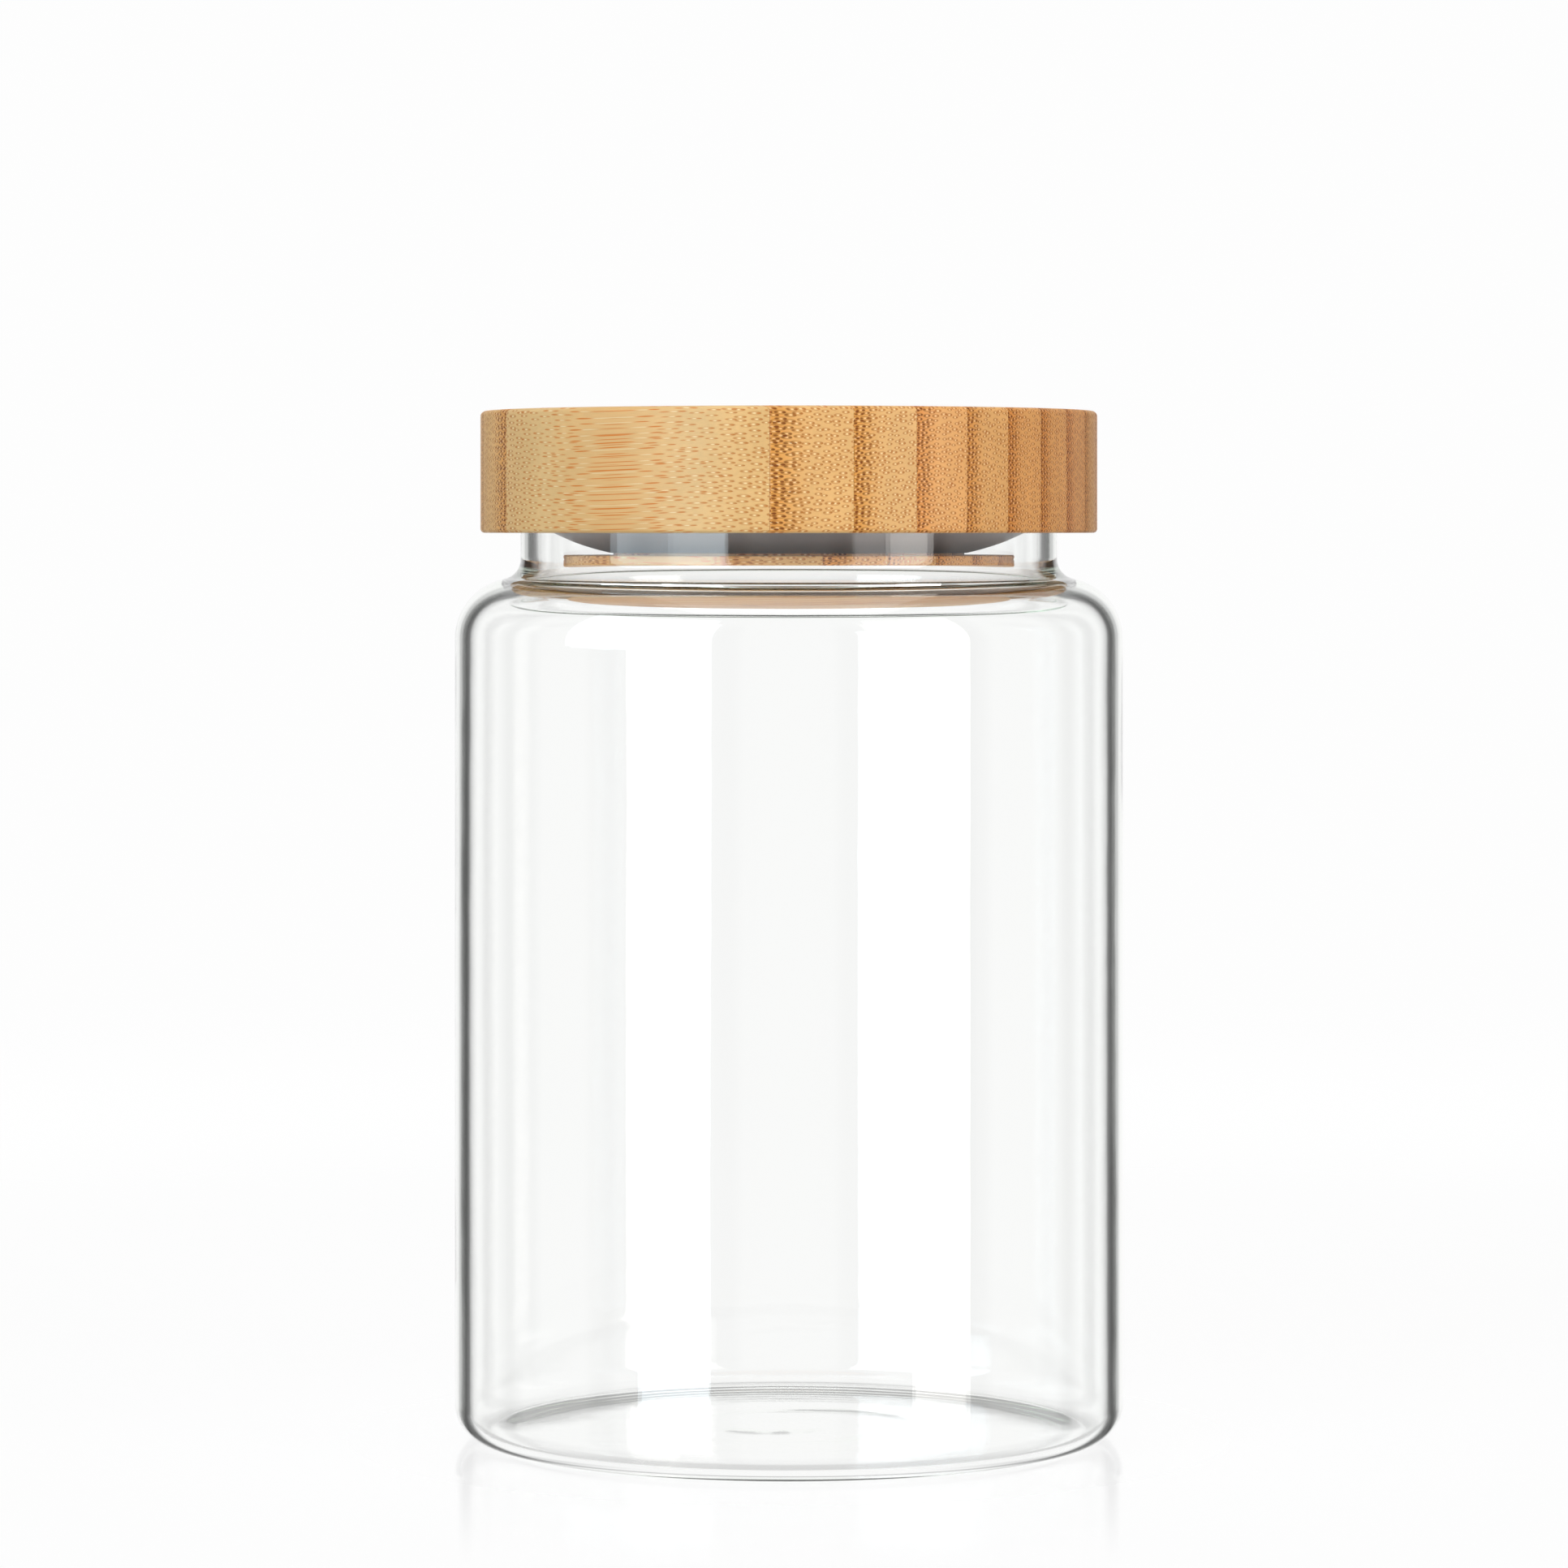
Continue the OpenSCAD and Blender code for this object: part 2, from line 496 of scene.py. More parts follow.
        # A knot is the wall across the stem: a brown line between two pale bands.
        swing, reach = self.knot_wave
        off = w.sum("SUBTRACT", along, given["Knot At"])
        wave = w.sum("SINE", w.sum("MULTIPLY", across, swing))
        off = w.sum("ADD", off, w.sum("MULTIPLY", wave, reach))
        off = w.sum("ABSOLUTE", w.sum("ADD", off, w.between(fine, *self.knot_rough)))
        band = w.sum("MULTIPLY", w.ease(off, *self.knot_band), self.knot_band_share)
        colour = w.blend(band, colour, given["Flesh"])
        knot = w.sum("MULTIPLY", w.ease(off, *self.knot_line), self.knot_line_share)
        colour = w.blend(knot, colour, given["Dark Vessel"])
        rough = w.sum("ADD", w.between(vessel, *self.roughness), fine_tone)
        pits = w.sum("MULTIPLY", vessel, w.between(end_on, *self.pit_by_cut))
        relief = w.sum("ADD", pits, w.sum("MULTIPLY", fine, self.fine_relief))
        relief = w.sum("SUBTRACT", relief, w.sum("MULTIPLY", joint, self.joint_relief))
        w.plug(group.result["Colour"], colour)
        w.plug(group.result["Roughness"], rough)
        w.plug(group.result["Height"], relief)
        return group.tree

    def rows(self, w: Wires, column: Value, level: Value, spacing: Value, dense: Value,
             seed: Value, slim: Value, step: float) -> tuple[Value, Value, Value]:
        """Draws every other column of bundles, each one a pair of vessels beside a pale core.

        Args:
            w: Wires of the group that they are drawn in.
            column: Place across the slat, counted in columns.
            level: Height in millimetres.
            spacing: Width of a column here in millimetres.
            dense: How close the bundles stand, from 0 to 1.
            seed: Number that makes one slat differ from the next.
            slim: How many times lower the marks are than a bundle that is cut square across.
            step: 0 for the even columns and 1 for the odd ones, which stand half a row higher.

        Returns:
            Masks of the vessels, the core and the thin sheath round them.
        """
        halves = w.sum("MULTIPLY_ADD", column, 0.5, step * 0.5)
        near_column = w.sum("FLOOR", w.sum("ADD", halves, 0.5))
        rows = w.sum("MULTIPLY_ADD", level, 1 / self.row_height, step * 0.5)
        near_row = w.sum("FLOOR", w.sum("ADD", rows, 0.5))
        chance = w.node("TexWhiteNoise", noise_dimensions="3D")
        w.plug(chance.inputs["Vector"],
               w.join(w.sum("ADD", near_column, step * 0.37), near_row, seed))
        push_u, push_z, size = w.parts(chance.outputs["Color"])
        push_u = w.between(push_u, -self.push_across, self.push_across)
        push_z = w.between(push_z, -self.push_up, self.push_up)
        du = w.sum("MULTIPLY", w.sum("SUBTRACT", halves, near_column), 2.0)
        du = w.sum("MULTIPLY", w.sum("SUBTRACT", du, push_u), spacing)
        dz = w.sum("SUBTRACT", w.sum("SUBTRACT", rows, near_row), push_z)
        dz = w.sum("MULTIPLY", dz, self.row_height)
        size = w.sum("ADD", w.between(size, self.least_size, self.greatest_size),
                     w.sum("MULTIPLY", dense, self.rind_growth))
        scale = w.sum("DIVIDE", 1.0, size)
        du = w.sum("MULTIPLY", du, scale)
        dz = w.sum("MULTIPLY", w.sum("MULTIPLY", dz, scale), slim)

        def oval(middle: float, half_width: float, half_height: float) -> Value:
            """Measures from an oval's middle, as 1 on its outline.

            Args:
                middle: Place of the middle, to one side of the bundle's own.
                half_width: Half the oval's width.
                half_height: Half the oval's height.

            Returns:
                The distance.
            """
            return w.vector("LENGTH", w.join(
                w.sum("MULTIPLY_ADD", du, 1 / half_width, -middle / half_width),
                w.sum("MULTIPLY", dz, 1 / half_height)))

        big = w.ease(oval(0.27, 0.19, 0.13), 1.2, 0.55)
        small = w.sum("MULTIPLY", w.ease(oval(-0.27, 0.15, 0.11), 1.2, 0.5), 0.85)
        core = w.ease(oval(0.0, 0.14, 0.12), 1.2, 0.4)
        sheath = oval(0.0, 0.42, 0.26)
        ring = w.sum("MULTIPLY", w.ease(sheath, 1.2, 0.95), w.ease(sheath, 0.5, 0.9))
        return w.sum("MAXIMUM", big, small), core, ring


def build_surface_wander() -> bpy.types.NodeTree:
    """Builds the group for slow unevenness, such as blown glass and moulded rubber show.

    Returns:
        The group, which puts out a height and a mask of dust specks.
    """
    group = SharedGroup("Surface wander", {"Place": None, "Size": 20.0, "Speck Size": 2.0},
                        {"Height": "Float", "Specks": "Float"})
    w, given = group.wires, group.given
    place = w.vector("MULTIPLY", given["Place"], METRES_TO_MM)
    slow = w.vector("DIVIDE", place, w.join(given["Size"], given["Size"], given["Size"]))
    height = w.noise(slow, 1.0, 1.5)
    cells = w.node("TexVoronoi", feature="F1")
    speck = given["Speck Size"]
    w.plug(cells.inputs["Vector"], w.vector("DIVIDE", place, w.join(speck, speck, speck)))
    chance = w.parts(cells.outputs["Color"])[0]
    near = w.ease(cells.outputs["Distance"], 0.10, 0.04)
    chosen = w.ease(chance, 0.80, 0.84)
    w.plug(group.result["Height"], height)
    w.plug(group.result["Specks"], w.sum("MULTIPLY", near, chosen))
    return group.tree


# ---------------------------------------------------------------- finishes


@dataclass(frozen=True)
class ClearGlass:
    """Blown borosilicate glass, clear, with the faint green that its thick parts show."""

    ior: float = 1.47
    tint: Colour = (0.50, 0.76, 0.42, 1.0)
    tint_depth: float = 6.0
    ripple: float = 0.05
    ripple_height: float = 0.0004
    ripple_size: float = 14.0

    def make(self, wander: bpy.types.NodeTree) -> bpy.types.Material:
        """Makes the material.

        Args:
            wander: The group for slow unevenness.

        Returns:
            The glass.
        """
        material, w, shader = blank_material("Clear glass")
        shader.inputs["Base Color"].default_value = WHITE
        shader.inputs["Roughness"].default_value = 0.0
        shader.inputs["IOR"].default_value = self.ior
        shader.inputs["Transmission Weight"].default_value = 1.0
        place = w.node("TexCoord").outputs["Object"]
        uneven = w.group(wander, Place=place, Size=self.ripple_size)
        bump = w.node("Bump")
        bump.inputs["Strength"].default_value = self.ripple
        bump.inputs["Distance"].default_value = self.ripple_height
        w.plug(bump.inputs["Height"], uneven.outputs["Height"])
        w.plug(shader.inputs["Normal"], bump.outputs["Normal"])
        depth = w.node("VolumeAbsorption")
        depth.inputs["Color"].default_value = self.tint
        depth.inputs["Density"].default_value = self.tint_depth
        w.plug(material.node_tree.nodes["Material Output"].inputs["Volume"],
               depth.outputs["Volume"])
        return material


@dataclass(frozen=True)
class GreySilicone:
    """Moulded grey silicone rubber with a soft shine and a little dust."""

    base: Colour = field(default_factory=lambda: paint(112, 100, 98))
    dust: Colour = field(default_factory=lambda: paint(176, 172, 168))
    cloud_size: float = 3.0
    speck_size: float = 0.8
    cloud_share: float = 0.25
    speck_share: float = 0.5
    roughness: Point = (0.34, 0.44)
    speck_roughness: float = 0.3
    ior: float = 1.43
    bump: float = 0.25
    bump_height: float = 0.00004

    def make(self, wander: bpy.types.NodeTree) -> bpy.types.Material:
        """Makes the material.

        Args:
            wander: The group for slow unevenness.

        Returns:
            The rubber.
        """
        material, w, shader = blank_material("Grey silicone")
        place = w.node("TexCoord").outputs["Object"]
        uneven = w.group(wander, Place=place, Size=self.cloud_size, Speck_Size=self.speck_size)
        swell, specks = uneven.outputs["Height"], uneven.outputs["Specks"]
        shade = w.blend(w.sum("MULTIPLY", swell, self.cloud_share), self.base, self.dust)
        shade = w.blend(w.sum("MULTIPLY", specks, self.speck_share), shade, self.dust)
        w.plug(shader.inputs["Base Color"], shade)
        dusty = w.sum("MULTIPLY", specks, self.speck_roughness)
        w.plug(shader.inputs["Roughness"],
               w.sum("ADD", w.between(swell, *self.roughness), dusty))
        shader.inputs["IOR"].default_value = self.ior
        bump = w.node("Bump")
        bump.inputs["Strength"].default_value = self.bump
        bump.inputs["Distance"].default_value = self.bump_height
        w.plug(bump.inputs["Height"], swell)
        w.plug(shader.inputs["Normal"], bump.outputs["Normal"])
        return material


@dataclass(frozen=True)
class SlatLook:
    """How one slat's bamboo differs from the others.

    Warmth runs from 0, a straw-coloured slat, to 1, a reddish one, and a lower shade is darker.
    For most slats the shade is their own tone, but the low shades of slats 7 to 10, which end at
    the lid's right front, are painted shade for where the lamplight falls off there. The knot's
    place is in millimetres along the grain.
    """

    warmth: float
    shade: float
    knot_at: float = NO_KNOT

    def tone(self, straw: Colour, red: Colour) -> Colour:
        """Mixes the slat's tone from the straw-coloured and the reddish one and darkens it by its
        shade, painted shade for slats 7 to 10.
        """
        mixed = [(a + (b - a) * self.warmth) * self.shade for a, b in zip(straw, red)]
        return (mixed[0], mixed[1], mixed[2], 1.0)


@dataclass(frozen=True)
class OiledBamboo:
    """One slat's bamboo, sanded and oiled to a satin shine."""

    slat: int
    outer_edge: float
    width: float
    look: SlatLook
    seed_step: float = 7.31
    ior: float = 1.45
    specular: float = 0.2
    bump: float = 0.35
    bump_height: float = 0.00006

    def make(self, bundles: bpy.types.NodeTree) -> bpy.types.Material:
        """Makes the material.

        Args:
            bundles: The group for fibre bundles.

        Returns:
            The slat's bamboo.
        """
        material, w, shader = blank_material(f"Oiled bamboo {self.slat:02d}")
        where = w.node("TexCoord")
        tone = self.look.tone
        fibres = w.group(
            bundles, Place=where.outputs["Object"], Facing=where.outputs["Normal"],
            Outer_Edge=self.outer_edge, Width=self.width, Seed=self.slat * self.seed_step,
            Knot_At=self.look.knot_at,
            Flesh=tone(paint(236, 190, 126), paint(238, 170, 100)),
            Rind_Flesh=tone(paint(232, 160, 70), paint(226, 142, 68)),
            Side_Fibre=tone(paint(226, 118, 14), paint(210, 100, 22)),
            Pale_Vessel=tone(paint(190, 106, 30), paint(176, 86, 30)),
            Dark_Vessel=tone(paint(118, 50, 4), paint(114, 46, 8)),
            Core=tone(paint(255, 230, 180), paint(255, 216, 164)))
        w.plug(shader.inputs["Base Color"], fibres.outputs["Colour"])
        w.plug(shader.inputs["Roughness"], fibres.outputs["Roughness"])
        shader.inputs["IOR"].default_value = self.ior
        shader.inputs["Specular IOR Level"].default_value = self.specular
        bump = w.node("Bump")
        bump.inputs["Strength"].default_value = self.bump
        bump.inputs["Distance"].default_value = self.bump_height
        w.plug(bump.inputs["Height"], fibres.outputs["Height"])
        w.plug(shader.inputs["Normal"], bump.outputs["Normal"])
        return material


# ---------------------------------------------------------------- the canister


def settle_piece(piece: bpy.types.Object, body: Body, nodes: Sequence[str],
                 material: bpy.types.Material) -> bpy.types.Object:
    """Gives a piece its finish and its place in the frame.

    Args:
        piece: The finished piece.
        body: The body that it moves with.
        nodes: The CAD nodes that it stands for.
        material: Its material.

    Returns:
        The same piece.
    """
    piece.data.materials.append(material)
    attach(piece, body.value)
    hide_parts(*nodes)
    log.info("%s rides on %s: %d faces", piece.name, body.value, len(piece.data.polygons))
    return piece


@dataclass
class GlassJar:
    """The blown jar: a straight body, a round shoulder, a short neck and a thin, even base.

    Sizes are in millimetres. Heights are above the ring that the jar stands on.
    """

    body_radius: float
    rim_height: float
    wall: float = 2.2
    base: float = 1.6
    push_up: float = 0.4
    foot_radius: float = 43.0
    heel: float = 5.0
    inner_heel: float = 3.2
    shoulder_height: float = 119.5
    shoulder: float = 9.0
    neck_radius: float = 40.2
    neck_wall: float = 2.6
    fillet: float = 3.0
    fillet_height: float = 131.293
    inner_fillet: float = 5.2
    inner_fillet_height: float = 131.664
    sides: int = 384
    heel_steps: int = 14
    shoulder_steps: int = 18
    neck_steps: int = 14
    rim_steps: int = 16
    fillet_steps: int = 12
    push_up_steps: int = 28
    push_up_flatness: int = 10
    longest: float = 3.0
    crease: float = 60.0
    swirl_depth: float = 0.04
    swirl_radius: float = 30.0
    wall_wander: float = 0.035
    least: float = 0.01

    def outline(self) -> list[Point]:
        """Draws the section of the glass.

        Returns:
            The section, from the axis along the inside, over the rim and down the outside
            to the axis again.
        """
        inside = self.body_radius - self.wall
        rim = self.neck_wall / 2
        rim_centre = (self.neck_radius - rim, self.rim_height - rim)
        lip = math.degrees(math.atan2(self.inner_fillet_height - self.shoulder_height,
                                      self.bore + self.inner_fillet - self.shoulder_centre))
        turn = math.degrees(math.atan2(self.fillet_height - self.shoulder_height,
                                       self.neck_radius + self.fillet - self.shoulder_centre))
        points = [(0.0, self.base)]
        points += arc((inside - self.inner_heel, self.base + self.inner_heel),
                      self.inner_heel, -90, 0, self.heel_steps)
        points += arc((self.shoulder_centre, self.shoulder_height),
                      self.shoulder - self.wall, 0, lip, self.rim_steps)
        points += arc((self.bore + self.inner_fillet, self.inner_fillet_height),
                      self.inner_fillet, 180 + lip, 180, self.neck_steps)
        points += arc(rim_centre, rim, 180, 0, self.rim_steps)
        points += arc((self.neck_radius + self.fillet, self.fillet_height),
                      self.fillet, 180, 180 + turn, self.fillet_steps)
        points += arc((self.shoulder_centre, self.shoulder_height), self.shoulder, turn, 0,
                      self.shoulder_steps)
        points += arc((self.body_radius - self.heel, self.heel), self.heel, 0, -90,
                      self.heel_steps)
        for k in range(self.push_up_steps, -1, -1):
            share = k / self.push_up_steps
            points.append((self.foot_radius * share,
                           self.push_up * (1 - share ** self.push_up_flatness)))
        return split_long(points, self.longest)

    @property
    def shoulder_centre(self) -> float:
        """Distance from the axis to the middle of the shoulder's curve."""
        return self.body_radius - self.shoulder

    @property
    def bore(self) -> float:
        """Inner radius of the neck."""
        return self.neck_radius - self.neck_wall

    def wander(self, r: float, z: float, angle: float) -> Point:
        """Moves a point of the glass as blowing and spinning leave it.

        Args:
            r: Distance from the axis.
            z: Height.
            angle: Angle round the axis.

        Returns:
            The new distance and height.
        """
        inner = self.body_radius - self.wall
        if r < inner - self.inner_heel and abs(z - self.base) < self.least:
            edge = max(0.0, 1 - (r / self.swirl_radius) ** 4)
            swirl = math.sin(r * 0.62 + angle + 0.7) + 0.5 * math.sin(r * 1.05 - 2 * angle)
            middle = math.exp(-((r - 13) / 7) ** 2)
            swirl += 0.6 * math.sin(2 * angle + r * 0.2) * middle
            return r, z + self.swirl_depth * swirl * edge * min(1.0, r / 5)
        if abs(r - inner) < self.least and z > self.base + self.inner_heel:
            rise = min(1.0, (z - self.base) / (self.shoulder_height - self.base))
            ease = math.sin(math.pi * rise)
            sway = math.sin(2 * angle + 0.6 + z * 0.012) + 0.5 * math.sin(5 * angle - z * 0.02)
            return r + self.wall_wander * ease * sway, z
        return r, z

    def build(self, glass: bpy.types.Material) -> list[bpy.types.Object]:
        """Builds the jar.

        Args:
            glass: The jar's material.

        Returns:
            The jar as one piece.
        """
        mesh = turned(self.outline(), self.sides, settle=self.wander)
        piece = make_piece(mesh, "blown_jar", self.crease)
        return [settle_piece(piece, Body.JAR, ["glass_jar"], glass)]


@dataclass
class SealRing:
    """The silicone ring: a dished underside, a lip that meets the bore and a rolled top.

    Sizes are in millimetres. Heights are above the ring that the jar stands on.
    """

    foot_height: float
    lip_reach: float
    inner_radius: float = 26.6
    under: float = 36.0
    under_offset: float = 19.3
    roll: float = 1.3
    roll_height: float = 139.2
    lip_round: float = 0.25
    parting: float = 0.04
    parting_width: float = 0.2
    foot_step: float = 1.0
    sides: int = 360
    under_steps: int = 30
    lip_steps: int = 5
    roll_steps: int = 10
    longest: float = 1.5
    crease: float = 40.0

    def outline(self) -> list[Point]:
        """Draws the ring's section, with the fine line that the two mould halves leave.

        Returns:
            The section, from the foot out along the underside, over the top and down the bore.
        """
        first = math.acos((self.inner_radius - self.under_offset) / self.under)
        centre = (self.under_offset, self.foot_height + self.under * math.sin(first))
        lip = self.lip_reach - self.lip_round
        last = math.acos((lip - self.under_offset) / self.under)
        low_edge = centre[1] - self.under * math.sin(last)
        points = arc(centre, self.under, -math.degrees(first), -math.degrees(last),
                     self.under_steps)
        points += arc((lip, low_edge + self.lip_round), self.lip_round, -40, 0,
                      self.lip_steps)
        seam = (low_edge + self.roll_height) / 2
        half = self.parting_width / 2
        points += [(self.lip_reach, seam - half), (self.lip_reach + self.parting, seam),
                   (self.lip_reach, seam + half)]
        points += arc((self.lip_reach - self.roll, self.roll_height), self.roll, 0, 90,
                      self.roll_steps)
        points += [(self.inner_radius, self.roll_height + self.roll),
                   (self.inner_radius, self.foot_height + self.foot_step)]
        return split_long(points, self.longest)

    def build(self, rubber: bpy.types.Material) -> list[bpy.types.Object]:
        """Builds the ring.

        Args:
            rubber: The ring's material.

        Returns:
            The ring as one piece.
        """
        mesh = turned(self.outline(), self.sides, ring=True)
        piece = make_piece(mesh, "moulded_seal", self.crease)
        return [settle_piece(piece, Body.SEAL, ["seal_ring"], rubber)]


@dataclass
class BambooLid:
    """The lid: slats glued side by side into a board, then turned to one outline.

    Sizes are in millimetres. Heights are above the ring that the jar stands on.
    """

    radius: float
    low: float
    top: float
    plug_low: float
    channel_inner: float = 26.3
    channel_outer: float = 41.0
    channel_depth: float = 6.0
    flange_radius: float = 33.8
    flange: float = 1.6
    top_edge: float = 0.8
    low_edge: float = 0.6
    broken_edge: float = 0.3
    slat_width: float = SLAT_WIDTH
    first_slat: float = 6.25
    sides: int = 360
    top_steps: int = 10
    low_steps: int = 6
    broken_steps: int = 4
    longest: float = 4.0
    crease: float = 35.0
    # The low shades of slats 7 to 10, which end at the lid's right front, are painted shade where
    # the lamplight falls off; the other shades are the slats' own tone.
    looks: tuple[SlatLook, ...] = (
        SlatLook(0.0, 1.0), SlatLook(0.2, 1.03), SlatLook(0.2, 1.02, -31.0),
        SlatLook(0.65, 1.06), SlatLook(0.45, 1.02, 24.0), SlatLook(0.75, 0.99),
        SlatLook(0.8, 0.93), SlatLook(0.95, 0.88, -12.0), SlatLook(0.5, 0.86),
        SlatLook(0.6, 0.9, 33.0), SlatLook(0.2, 1.0), SlatLook(0.5, 0.92),
        SlatLook(0.3, 0.95))

    def outline(self) -> list[Point]:
        """Draws the whole lid's section.

        Returns:
            The section, from the axis along the top, round the edge and along the underside
            to the axis again.
        """
        bevel = self.broken_edge
        soft = self.broken_steps
        channel_top = self.low + self.channel_depth
        flange_top = self.plug_low + self.flange
        points = [(0.0, self.top)]
        points += arc((self.radius - self.top_edge, self.top - self.top_edge),
                      self.top_edge, 90, 0, self.top_steps)
        points += arc((self.radius - self.low_edge, self.low + self.low_edge),
                      self.low_edge, 0, -90, self.low_steps)
        points += arc((self.channel_outer + bevel, self.low + bevel), bevel, 270, 180, soft)
        points += [(self.channel_outer, channel_top), (self.channel_inner, channel_top),
                   (self.channel_inner, flange_top)]
        points += arc((self.flange_radius - bevel, flange_top - bevel), bevel, 90, 0, soft)
        points += arc((self.flange_radius - bevel, self.plug_low + bevel), bevel, 0, -90, soft)
        points += [(0.0, self.plug_low)]
        return split_long(points, self.longest)

    def glue_line(self, number: int) -> float:
        """Place across the grain of the joint between a slat and the next one."""
        return self.radius - self.first_slat - (number - 1) * self.slat_width

    def cut(self, whole: bmesh.types.BMesh, number: int) -> bmesh.types.BMesh:
        """Cuts one slat out of the turned lid.

        Args:
            whole: The whole lid, which stays as it is.
            number: The slat, from 1 at the outer side.

        Returns:
            The slat as a closed mesh.
        """
        slat = whole.copy()
        sides = [(self.glue_line(number - 1), 1.0)] if number > 1 else []
        sides += [(self.glue_line(number), -1.0)] if number < len(self.looks) else []
        for place, way in sides:
            normal = Vector(ACROSS_GRAIN) * way
            parts = bmesh.ops.bisect_plane(
                slat, geom=slat.verts[:] + slat.edges[:] + slat.faces[:], dist=1e-8,
                plane_co=Vector(ACROSS_GRAIN) * place * MM, plane_no=normal, clear_outer=True)
            edges = [e for e in parts["geom_cut"] if isinstance(e, bmesh.types.BMEdge)]
            bmesh.ops.triangle_fill(slat, edges=edges, use_beauty=True, normal=normal)
        bmesh.ops.recalc_face_normals(slat, faces=slat.faces)
        return slat

    def build(self, bundles: bpy.types.NodeTree) -> list[bpy.types.Object]:
        """Builds the slats, each with its own bamboo.

        Args:
            bundles: The group for fibre bundles.

        Returns:
            The slats in order.
        """
        whole = turned(self.outline(), self.sides)
        pieces = []
        for number, look in enumerate(self.looks, 1):
            piece = make_piece(self.cut(whole, number), f"slat_{number:02d}", self.crease)
            finish = OiledBamboo(number, self.glue_line(number - 1), self.slat_width, look)
            pieces.append(settle_piece(piece, Body.LID,
                                       [f"bamboo_strip_{number:02d}"], finish.make(bundles)))
        whole.free()
        return pieces


# ---------------------------------------------------------------- studio


@dataclass
class SoftBox:
    """A soft light panel at a bearing from the object.

    Lengths are in metres and the bearing in degrees, from the camera's side towards the right.
    A panel that isn't mirrored shows neither on the glass nor through it.
    """

    name: str
    bearing: float
    distance: float
    width: float
    low: float
    high: float
    radiance: float
    colour: tuple[float, float, float]
    lights_matt: bool = True
    mirrored: bool = True

    def build(self) -> bpy.types.Object:
        """Hangs the panel.

        Returns:
            The light.
        """
        data = bpy.data.lights.new(self.name, "AREA")
        data.shape = "RECTANGLE"
        data.size = self.width
        data.size_y = self.high - self.low
        data.energy = self.radiance * math.pi * data.size * data.size_y
        data.color = self.colour
        light = bpy.data.objects.new(self.name, data)
        turn = math.radians(self.bearing)
        light.location = (self.distance * math.sin(turn), -self.distance * math.cos(turn),
                          (self.low + self.high) / 2)
        light.rotation_euler = (math.radians(90), 0, turn)
        light.visible_camera = False
        light.visible_diffuse = self.lights_matt
        light.visible_glossy = self.mirrored
        light.visible_transmission = self.mirrored
        bpy.context.scene.collection.objects.link(light)
        return light


# The four boxes edge the glass with reflections. The two that start higher show on the neck only.
SOFT_BOXES = (
    SoftBox("Left soft box", bearing=-39.0, distance=1.4, width=0.62, low=-0.6, high=1.3,
            radiance=4.6, colour=(0.80, 0.92, 1.0)),
    SoftBox("Right soft box", bearing=53.0, distance=1.4, width=0.50, low=-0.6, high=1.3,
            radiance=4.0, colour=(1.0, 0.97, 0.94)),
    SoftBox("Left window", bearing=-66.0, distance=1.4, width=0.74, low=0.125, high=1.3,
            radiance=3.2, colour=(0.76, 0.90, 1.0), lights_matt=False),
    SoftBox("Right glow", bearing=35.0, distance=1.4, width=0.36, low=0.125, high=1.3,
            radiance=1.5, colour=(1.0, 0.98, 0.97), lights_matt=False),
    SoftBox("Front wash", bearing=8.0, distance=2.2, width=1.6, low=0.1, high=1.6,
            radiance=0.75, colour=(1.0, 0.98, 0.95), mirrored=False),
    SoftBox("Back wash", bearing=180.0, distance=2.2, width=1.6, low=0.1, high=1.6,
            radiance=2.2, colour=(1.0, 0.98, 0.95), mirrored=False),
)


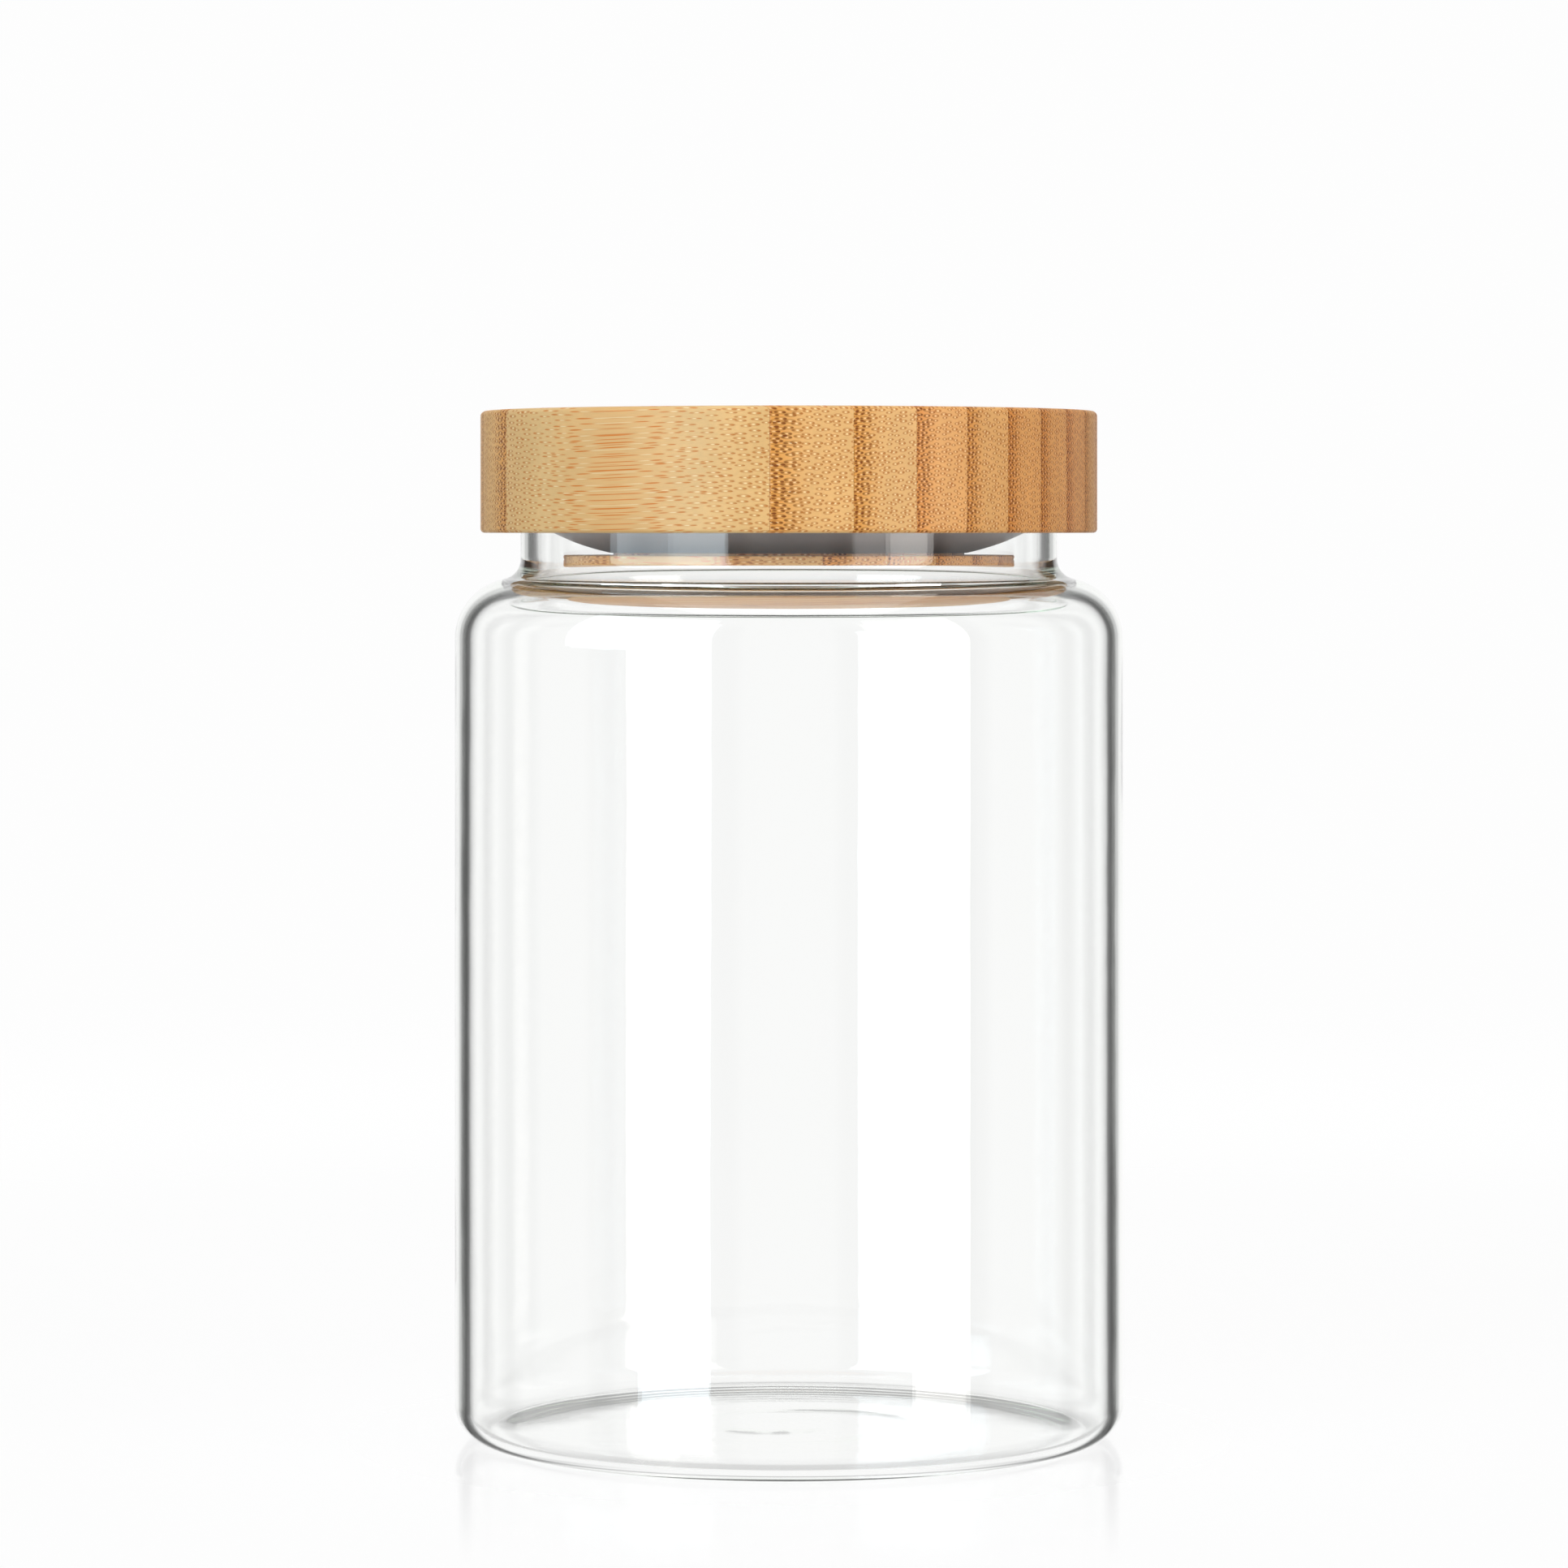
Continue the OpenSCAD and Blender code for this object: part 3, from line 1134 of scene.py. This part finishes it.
@dataclass
class Studio:
    """The white room: panels of light all round, a pale floor, the soft boxes and a camera.

    Lengths are in metres and angles in degrees.
    """

    eye_height: float
    lid_top: float
    camera_distance: float = 0.91
    lens: float = 139.3
    shift_x: float = -0.0031
    shift_y: float = -0.1636
    backdrop: float = 0.985
    rear_gap: float = 0.90
    rear_middle: float = 0.40
    panel_level: float = 0.96
    side_gap: float = 0.50
    front_gap: float = 0.22
    fill: float = 0.16
    panel_count: float = 8.0
    gap_ends: Point = (-0.56, -0.98)
    side_ends: Point = (0.75, 0.45)
    steep_ends: Point = (0.8, 0.6)
    rear_inner: Point = (19.0, 25.0)
    rear_outer: Point = (41.0, 33.0)
    rear_aside: Point = (8.0, 21.0)
    floor_radius: float = 0.9
    floor_drop: float = 0.05
    floor_rings: int = 24
    floor_sides: int = 96
    floor_glow: float = 0.945
    floor_matt: float = 0.05
    floor_gloss: float = 0.17
    floor_roughness: float = 0.05
    gloss_reach: Point = (0.125, 0.05)
    fade_start: float = 0.25
    fade_share: float = 0.95
    overhead_size: float = 1.2
    overhead_radiance: float = 1.3
    overhead_back: float = 0.1
    overhead_clear: float = 1.3
    bounces: int = 48
    gloss_bounces: int = 24

    def build(self) -> None:
        """Sets up the whole room."""
        scene = bpy.context.scene
        scene.view_settings.view_transform = "Standard"
        scene.cycles.max_bounces = self.bounces
        scene.cycles.transmission_bounces = self.bounces
        scene.cycles.glossy_bounces = self.gloss_bounces
        self.room()
        self.floor()
        for box in SOFT_BOXES:
            box.build()
        self.overhead()
        self.camera()

    def camera(self) -> None:
        """Places the camera level, straight in front."""
        data = bpy.data.cameras.new("Camera")
        data.lens = self.lens
        data.sensor_width = 36.0
        data.shift_x = self.shift_x
        data.shift_y = self.shift_y
        data.clip_start = 0.01
        camera = bpy.data.objects.new("Camera", data)
        camera.location = (0.0, -self.camera_distance, self.eye_height)
        camera.rotation_euler = (math.radians(90), 0.0, 0.0)
        bpy.context.scene.collection.objects.link(camera)
        bpy.context.scene.camera = camera

    def room(self) -> None:
        """Lights the room with eight tall panels and dark gaps between, which edge the glass."""
        world = bpy.data.worlds.new("White room")
        bpy.context.scene.world = world
        world.use_nodes = True
        world.node_tree.nodes.clear()
        w = Wires(world.node_tree)
        x, y, z = w.parts(w.node("TexCoord").outputs["Generated"])
        bearing = w.sum("ARCTAN2", x, y)
        wave = w.sum("COSINE", w.sum("MULTIPLY", bearing, self.panel_count))
        side = w.ease(w.sum("ABSOLUTE", y), *self.side_ends)
        gap = w.sum("MULTIPLY", w.ease(wave, *self.gap_ends),
                    w.between(side, self.front_gap, self.side_gap))
        # A dark ring behind the object bends into the thin dark line inside each glass edge.
        swing = w.sum("ARCCOSINE", y)
        rear = w.sum("MULTIPLY", w.ease(swing, *map(math.radians, self.rear_inner)),
                     w.ease(swing, *map(math.radians, self.rear_outer)))
        aside = w.ease(w.sum("ABSOLUTE", bearing), *map(math.radians, self.rear_aside))
        rear_depth = w.between(aside, self.rear_middle, self.rear_gap)
        gap = w.sum("MAXIMUM", gap, w.sum("MULTIPLY", rear, rear_depth))
        steep = w.ease(w.sum("ABSOLUTE", z), *self.steep_ends)
        level = w.sum("MULTIPLY", w.sum("SUBTRACT", 1.0, w.sum("MULTIPLY", gap, steep)),
                      self.panel_level)
        path = w.node("LightPath")
        panels = w.join(level, level, level)
        seen = w.blend(path.outputs["Is Diffuse Ray"], panels, (self.fill,) * 3 + (1.0,))
        seen = w.blend(path.outputs["Is Camera Ray"], seen, (self.backdrop,) * 3 + (1.0,))
        light = w.node("Background")
        w.plug(light.inputs["Color"], seen)
        w.plug(w.node("OutputWorld").inputs["Surface"], light.outputs["Background"])

    def floor(self) -> None:
        """Lays a round white floor that fades out into the room."""
        mesh = bmesh.new()
        rings = []
        for ring in range(self.floor_rings + 1):
            r = self.floor_radius * ring / self.floor_rings
            angles = [2 * math.pi * k / self.floor_sides for k in range(self.floor_sides)]
            rings.append([
                mesh.verts.new((r * math.cos(a), r * math.sin(a), -self.floor_drop * MM))
                for a in (angles if ring else angles[:1])])
        for low, high in zip(rings, rings[1:]):
            for k in range(self.floor_sides):
                nxt = (k + 1) % self.floor_sides
                mesh.faces.new(list(dict.fromkeys(
                    [low[k % len(low)], high[k], high[nxt], low[nxt % len(low)]])))
        floor = make_piece(mesh, "floor", 30)
        floor.visible_glossy = False
        floor.visible_transmission = False
        floor.visible_diffuse = False
        material, w, shader = blank_material("White acrylic floor")
        material.node_tree.nodes.remove(shader)
        place = w.node("TexCoord").outputs["Object"]
        far = w.vector("LENGTH", place)
        glow = w.node("Emission")
        glow.inputs["Color"].default_value = WHITE
        glow.inputs["Strength"].default_value = self.floor_glow
        matt = w.node("BsdfDiffuse")
        matt.inputs["Color"].default_value = (self.floor_matt,) * 3 + (1.0,)
        gloss = w.node("BsdfAnisotropic")
        gloss.inputs["Color"].default_value = WHITE
        gloss.inputs["Roughness"].default_value = self.floor_roughness
        near = w.ease(far, *self.gloss_reach)
        glow_or_gloss = w.node("MixShader")
        w.plug(glow_or_gloss.inputs[0], w.sum("MULTIPLY", near, self.floor_gloss))
        w.plug(glow_or_gloss.inputs[1], glow.outputs[0])
        w.plug(glow_or_gloss.inputs[2], gloss.outputs[0])
        full = w.node("AddShader")
        w.plug(full.inputs[0], glow_or_gloss.outputs[0])
        w.plug(full.inputs[1], matt.outputs[0])
        clear = w.node("BsdfTransparent")
        out = w.node("MixShader")
        w.plug(out.inputs[0], w.ease(far, self.fade_start, self.floor_radius * self.fade_share))
        w.plug(out.inputs[1], full.outputs[0])
        w.plug(out.inputs[2], clear.outputs[0])
        w.plug(material.node_tree.nodes["Material Output"].inputs["Surface"], out.outputs[0])
        floor.data.materials.append(material)

    def overhead(self) -> None:
        """Hangs the square soft box above the lid."""
        data = bpy.data.lights.new("Overhead soft box", "AREA")
        data.shape = "SQUARE"
        data.size = self.overhead_size
        data.energy = self.overhead_radiance * math.pi * data.size ** 2
        light = bpy.data.objects.new("Overhead soft box", data)
        light.location = (0.0, -self.overhead_back, self.lid_top + self.overhead_clear)
        light.visible_camera = False
        bpy.context.scene.collection.objects.link(light)


def main() -> None:
    """Builds the canister and its studio in order."""
    logging.basicConfig(level=logging.INFO, format="%(name)s: %(message)s", force=True)
    jar_low, jar_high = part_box("glass_jar")
    seal_low, seal_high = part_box("seal_ring")
    middle_low, middle_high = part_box("bamboo_strip_06")
    edge_low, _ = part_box("bamboo_strip_01")
    numbers = range(1, len(BambooLid.looks) + 1)
    lid_radius = max(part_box(f"bamboo_strip_{n:02d}")[1].x for n in numbers)
    bundles = BundlePattern().build()
    wander = build_surface_wander()
    jar = GlassJar(body_radius=jar_high.x / MM, rim_height=jar_high.z / MM)
    seal = SealRing(foot_height=seal_low.z / MM, lip_reach=seal_high.x / MM)
    lid = BambooLid(radius=lid_radius / MM, low=edge_low.z / MM, top=middle_high.z / MM,
                    plug_low=middle_low.z / MM)
    pieces = jar.build(ClearGlass().make(wander))
    pieces += seal.build(GreySilicone().make(wander))
    pieces += lid.build(bundles)
    log.info("%d pieces in all, jar from %.4f m", len(pieces), jar_low.z)
    Studio(eye_height=edge_low.z + EYE_OVER_LID_EDGE, lid_top=middle_high.z).build()


if __name__ == "__main__":
    main()
